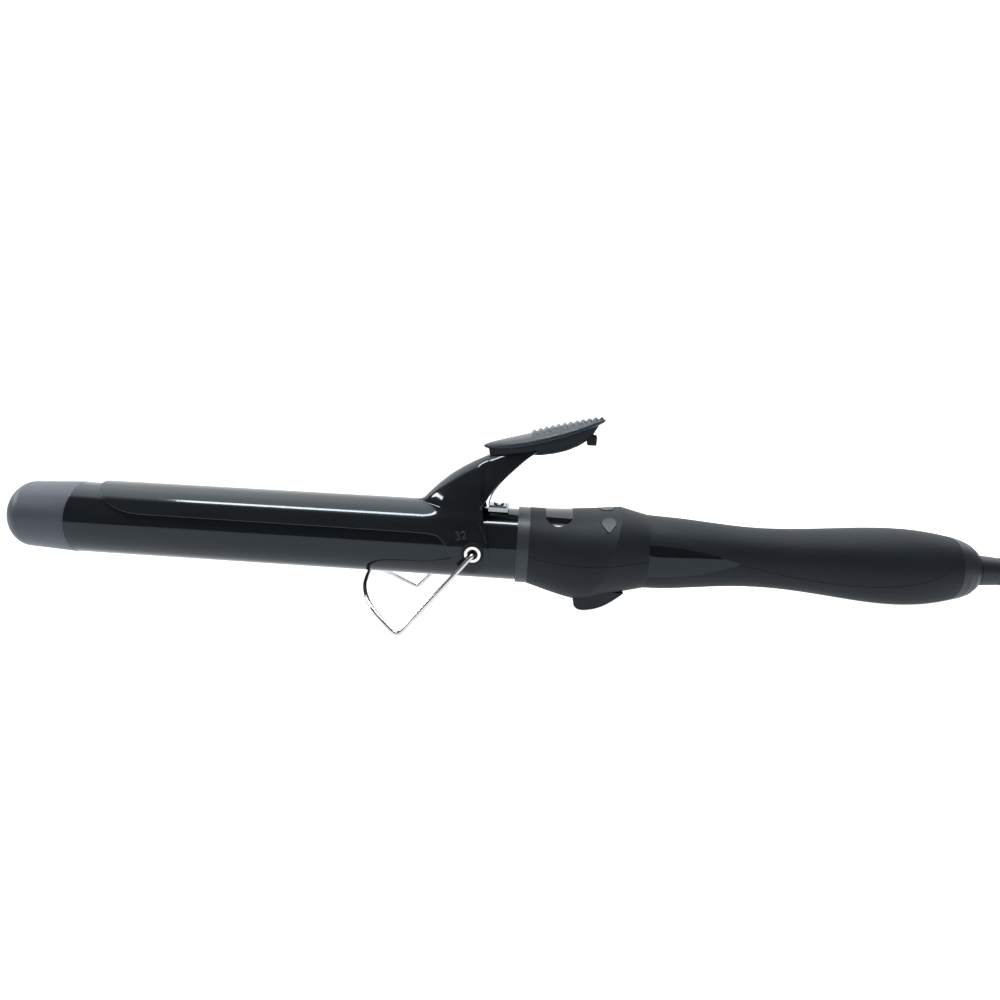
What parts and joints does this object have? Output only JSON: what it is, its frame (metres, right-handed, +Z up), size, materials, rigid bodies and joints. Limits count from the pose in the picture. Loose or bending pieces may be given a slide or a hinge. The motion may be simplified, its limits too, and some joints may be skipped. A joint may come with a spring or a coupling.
{
  "type": "curling iron",
  "caption": "Curling iron with a heated round barrel, sprung clip with thumb lever, wire rest, push buttons, display window and swivelling mains lead.",
  "frame": {"origin": "middle of the iron's footprint on the surface it rests on", "axes": "+X from the tip to the handle's end, +Z up"},
  "size_m": [0.5868, 0.1014, 0.0864],
  "materials": {
    "satin_grey_plastic": "moulded, heat resistant, fine satin",
    "barrel_lacquer": "gloss black ceramic lacquer on aluminium",
    "clip_lacquer": "gloss black lacquer on steel sheet",
    "soft_black": "soft-touch matt black",
    "rubber_black": "dark rubber, matt",
    "gloss_black_plastic": "piano black, moulded",
    "window_plastic": "dark smoked window",
    "button_grey": "satin mid grey",
    "chrome": "bright chrome plate",
    "spring_steel": "blued to bright spring steel",
    "steel": "zinc plated",
    "aluminium": "extruded, plain",
    "ceramic": "mica and ceramic, cream",
    "board": "green printed board",
    "brass": "plain brass",
    "glass": "sensor glass",
    "cord_rubber": "black flexible sheath",
    "plug_black": "moulded black"
  },
  "bodies": {
    "root": {"cool_tip": "satin_grey_plastic", "tip_insulator": "ceramic", "barrel_tube": "barrel_lacquer", "heater_spreader_upper": "aluminium", "heater_spreader_lower": "aluminium", "heater_strip": "ceramic", "heater_terminals": "brass", "heater_leads": "cord_rubber", "temperature_sensor": "glass", "thermal_fuse": "steel", "barrel_bush": "ceramic", "barrel_collar": "satin_grey_plastic", "pivot_studs": "chrome", "pivot_washers": "soft_black", "lever_spring": "spring_steel", "spring_plate": "spring_steel", "spring_screw": "steel", "handle_upper_shell": "soft_black", "handle_lower_shell": "soft_black", "handle_screws": "steel", "finger_rest": "rubber_black", "display_window": "window_plastic", "display_module": "gloss_black_plastic", "display_posts": "brass", "control_board": "board", "board_relay": "gloss_black_plastic", "switch_cradle": "gloss_black_plastic", "tact_switches": "steel", "end_ring": "soft_black", "swivel_plate": "gloss_black_plastic", "brush_contacts": "brass", "side_inlay_left": "gloss_black_plastic", "side_inlay_right": "gloss_black_plastic", "power_cord": "cord_rubber", "cord_coil": "cord_rubber", "cord_tie": "cord_rubber", "plug_lead": "cord_rubber", "plug_body": "plug_black", "plug_pins": "chrome"},
    "clip": {"clip_blade": "clip_lacquer", "thumb_lever": "clip_lacquer", "thumb_pad": "satin_grey_plastic", "thumb_pad_base": "soft_black", "pad_screws": "steel"},
    "stand": {"stand_wire": "chrome"},
    "swivel": {"swivel_collar": "soft_black", "slip_rings": "brass", "cord_boot": "cord_rubber"},
    "power_key": {"power_button": "button_grey"},
    "minus_key": {"minus_button": "button_grey"},
    "plus_key": {"plus_button": "button_grey"}
  },
  "joints": [
    {"name": "clip_pivot", "type": "hinge", "parent": "root", "child": "clip", "pos_m": [-0.01839, 0, 0.03219], "axis": [0, 1, 0], "range_deg": [0, 20], "stiffness_Nm_per_rad": 0.25, "springref_deg": -40.11, "deforming": ["lever_spring"]},
    {"name": "stand_pivot", "type": "hinge", "parent": "root", "child": "stand", "pos_m": [-0.01839, 0, 0.03219], "axis": [0, -1, 0], "range_deg": [0, 118]},
    {"name": "cord_swivel", "type": "hinge", "parent": "root", "child": "swivel", "pos_m": [0.20192, 0, 0.01473], "axis": [0.9963, 0, -0.0858], "continuous": true},
    {"name": "power_press", "type": "slide", "parent": "root", "child": "power_key", "axis": [-0.0858, 0, -0.9963], "range_m": [0, 0.0005], "stiffness_N_per_m": 400},
    {"name": "minus_press", "type": "slide", "parent": "root", "child": "minus_key", "axis": [-0.0694, 0.5878, -0.806], "range_m": [0, 0.0005], "stiffness_N_per_m": 400},
    {"name": "plus_press", "type": "slide", "parent": "root", "child": "plus_key", "axis": [-0.0694, -0.5878, -0.806], "range_m": [0, 0.0005], "stiffness_N_per_m": 400}
  ]
}
